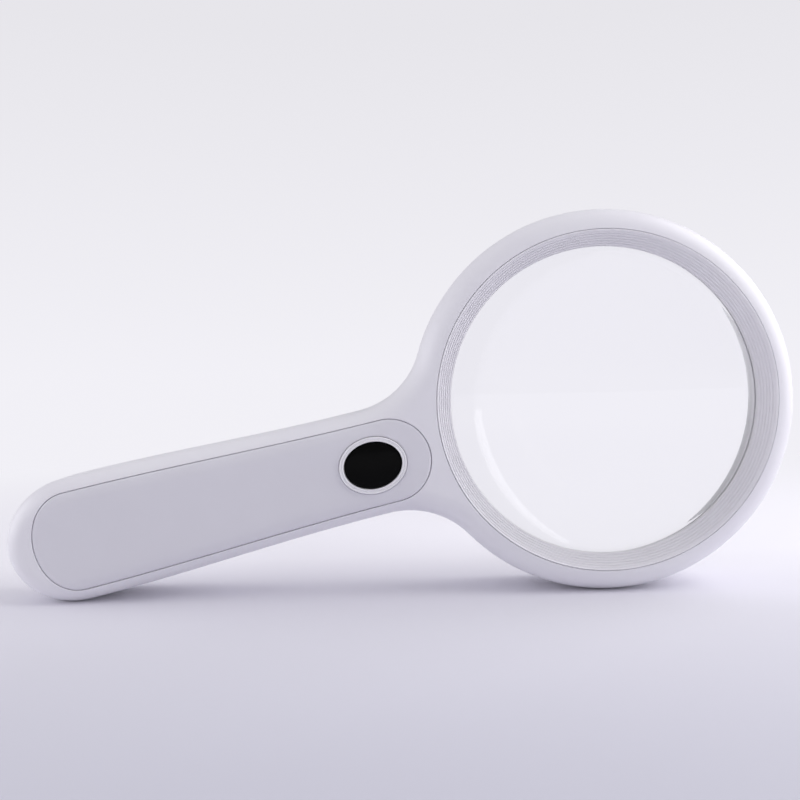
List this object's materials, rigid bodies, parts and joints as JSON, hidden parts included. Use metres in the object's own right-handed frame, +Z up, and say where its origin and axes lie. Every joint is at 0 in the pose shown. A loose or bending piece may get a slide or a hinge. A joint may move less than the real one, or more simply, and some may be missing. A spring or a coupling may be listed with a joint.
{
  "type": "hand lens",
  "caption": "Battery-lit hand lens: round lens in a stepped bezel, ring of lamps round its back, and a slim grip with a push switch and a battery box.",
  "frame": {"origin": "bottom centre of the box round the lens as it stands on its edge, on the floor", "axes": "+X along the floor from the grip towards the lens, -Y out of the front, +Z up"},
  "size_m": [0.253, 0.0314, 0.1218],
  "materials": {
    "casing": "satin white moulded plastic with a faint lavender cast",
    "bezel": "satin white plastic with fine turned steps",
    "acrylic": "clear polished optical acrylic",
    "window": "frosted clear plastic",
    "button": "high-gloss black plastic",
    "inner_plastic": "plain white moulded plastic",
    "rubber": "soft white silicone rubber",
    "board": "green lacquered circuit board",
    "led": "white chip with a pale yellow phosphor face",
    "resistor": "black ceramic chip",
    "switch_black": "black moulded plastic",
    "steel": "nickel-plated steel",
    "cell": "printed metal sleeve, plain dark",
    "wire_red": "red insulation",
    "wire_black": "black insulation"
  },
  "bodies": {
    "lens_body": {"battery_1": "cell", "battery_2": "cell", "battery_3": "cell", "battery_spring_1": "steel", "battery_spring_2": "steel", "battery_spring_3": "steel", "battery_tray": "inner_plastic", "bezel_ring": "bezel", "board_resistor_1": "resistor", "board_resistor_2": "resistor", "board_resistor_3": "resistor", "button_trim": "casing", "contact_link_front": "steel", "contact_link_rear": "steel", "contact_minus": "steel", "contact_plus": "steel", "front_shell": "casing", "grip_panel": "casing", "led_01": "led", "led_02": "led", "led_03": "led", "led_04": "led", "led_05": "led", "led_06": "led", "led_07": "led", "led_08": "led", "led_09": "led", "led_10": "led", "led_11": "led", "led_12": "led", "led_board": "board", "lens": "acrylic", "lens_gasket": "rubber", "lens_retainer": "inner_plastic", "light_window": "window", "rear_shell": "casing", "shell_screw_1": "steel", "shell_screw_2": "steel", "shell_screw_3": "steel", "shell_screw_4": "steel", "switch_board": "board", "switch_housing": "switch_black", "switch_screw_1": "steel", "switch_screw_2": "steel", "tray_screw_1": "steel", "tray_screw_2": "steel", "wire_battery_black": "wire_black", "wire_battery_red": "wire_red", "wire_lamp_red": "wire_red"},
    "button": {"button_cap": "button", "button_spring": "steel", "switch_plunger": "inner_plastic"},
    "battery_cover": {"battery_cover": "casing"}
  },
  "joints": [
    {"name": "button_press", "type": "slide", "parent": "lens_body", "child": "button", "axis": [0, 1, 0], "range_m": [0, 0.0012], "stiffness_N_per_m": 1500, "springref_m": -0.0006, "deforming": ["button_spring"]},
    {"name": "cover_slide", "type": "slide", "parent": "lens_body", "child": "battery_cover", "axis": [-0.9742, 0, -0.2259], "range_m": [0, 0.095]}
  ]
}
